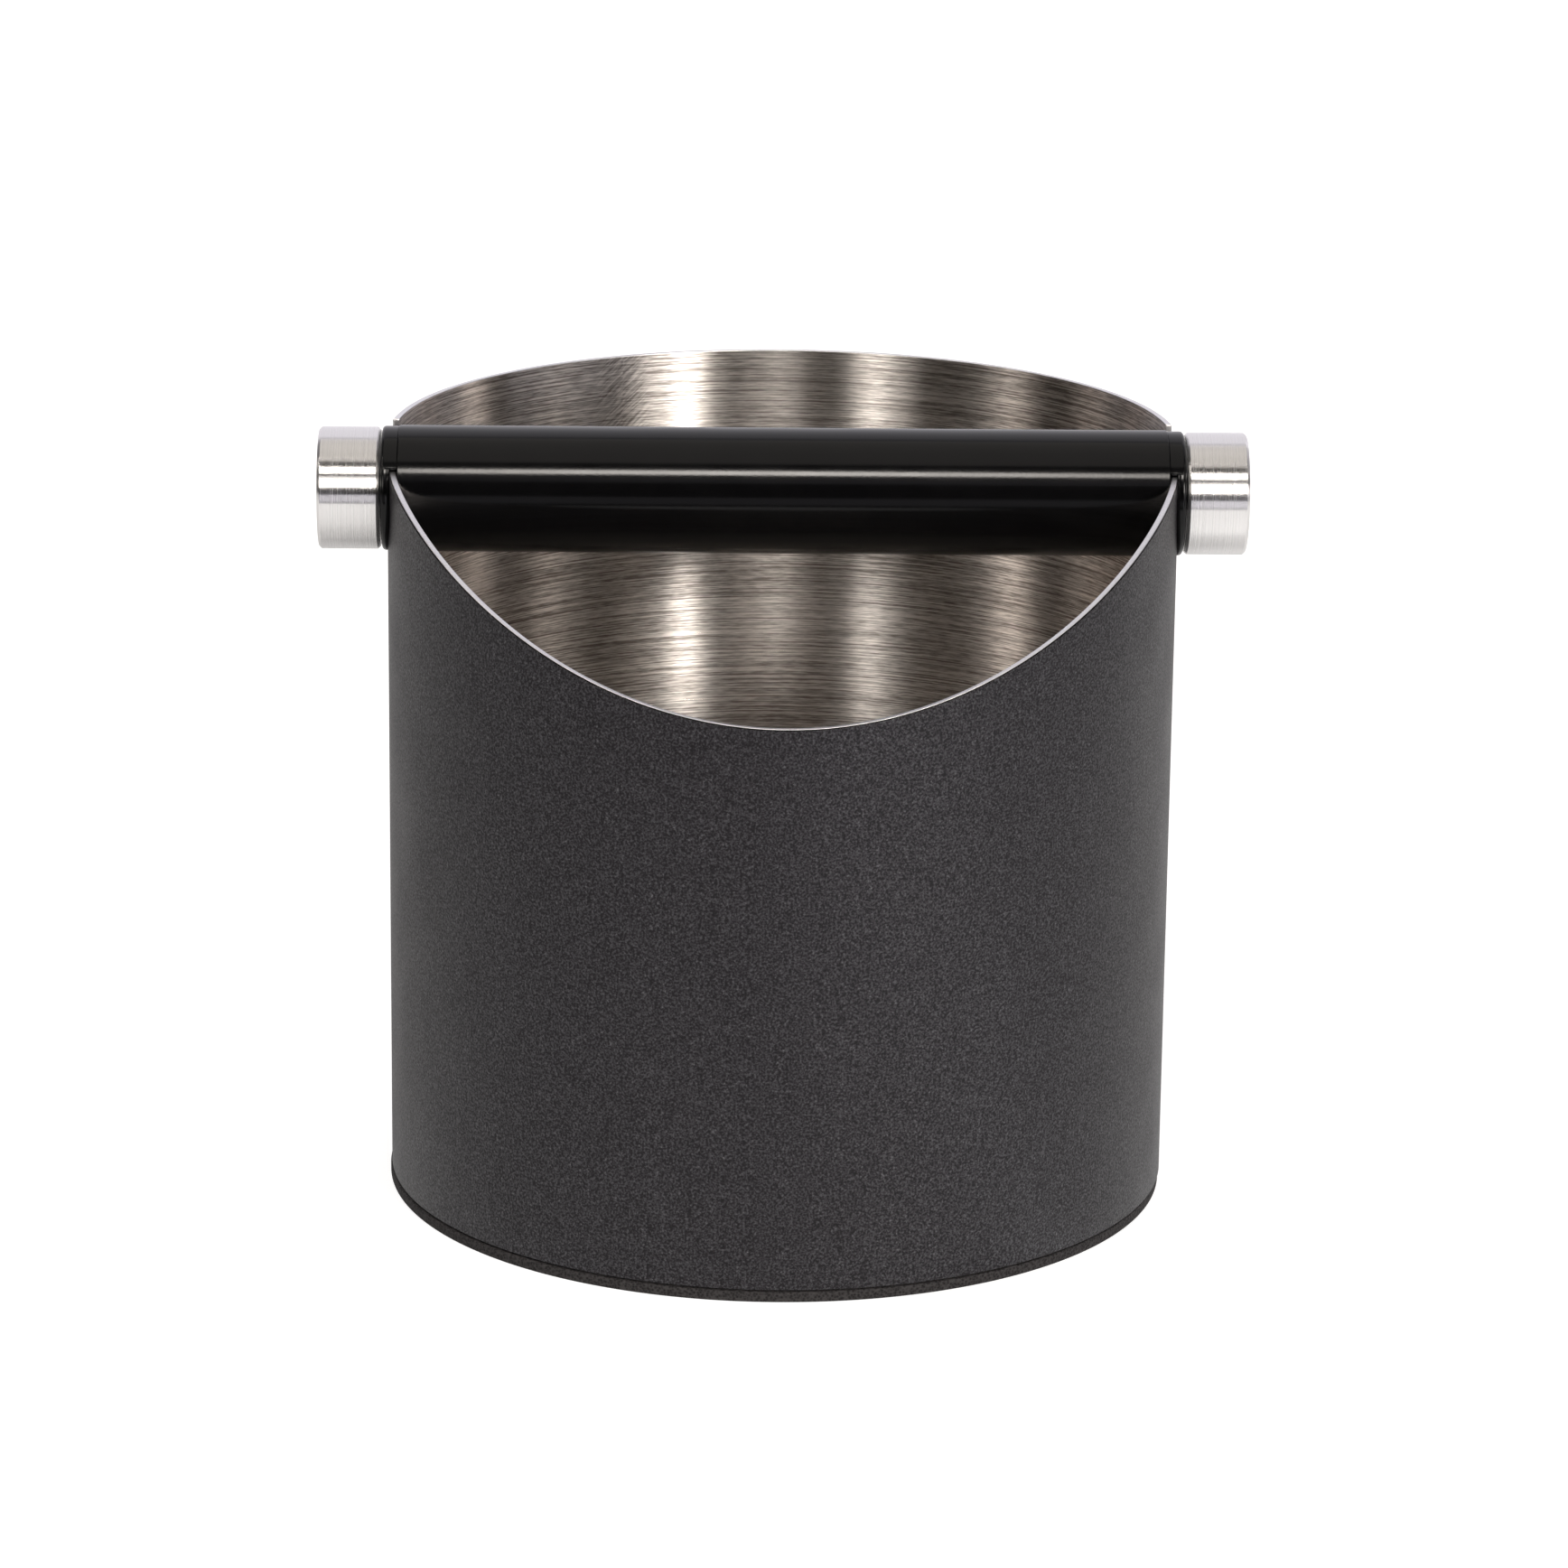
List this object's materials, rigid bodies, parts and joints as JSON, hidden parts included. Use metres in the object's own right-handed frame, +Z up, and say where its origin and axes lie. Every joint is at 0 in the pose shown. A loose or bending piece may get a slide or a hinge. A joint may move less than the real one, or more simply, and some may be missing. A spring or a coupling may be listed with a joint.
{
  "type": "espresso knock box",
  "caption": "Round steel bin with a scooped front rim, a foam rubber base and a rubber-sleeved knock bar that drops into notches in the rim and lifts out.",
  "frame": {"origin": "on the standing surface, under the middle of the round bin", "axes": "+Z up, +X along the knock bar, -Y towards the scooped front of the rim"},
  "size_m": [0.17, 0.145, 0.143],
  "materials": {
    "powder_coat": "fine-textured matt anthracite powder coat on steel sheet",
    "brushed_steel": "bare stainless steel, brushed round the bin",
    "foam_rubber": "closed-cell foam rubber, matt and speckled",
    "sleeve_rubber": "smooth black rubber with a satin gloss",
    "turned_steel": "bright satin turned stainless steel"
  },
  "bodies": {
    "bin": {"body_shell": "powder_coat", "floor_disc": "brushed_steel", "base_pad": "foam_rubber"},
    "knock_bar": {"core_rod": "turned_steel", "knock_sleeve": "sleeve_rubber", "left_bushing": "sleeve_rubber", "right_bushing": "sleeve_rubber", "left_stud": "turned_steel", "right_stud": "turned_steel", "left_end_cap": "turned_steel", "right_end_cap": "turned_steel"}
  },
  "joints": [
    {"name": "bar_lift", "type": "slide", "parent": "bin", "child": "knock_bar", "axis": [0, 0, 1], "range_m": [0, 0.05]}
  ]
}
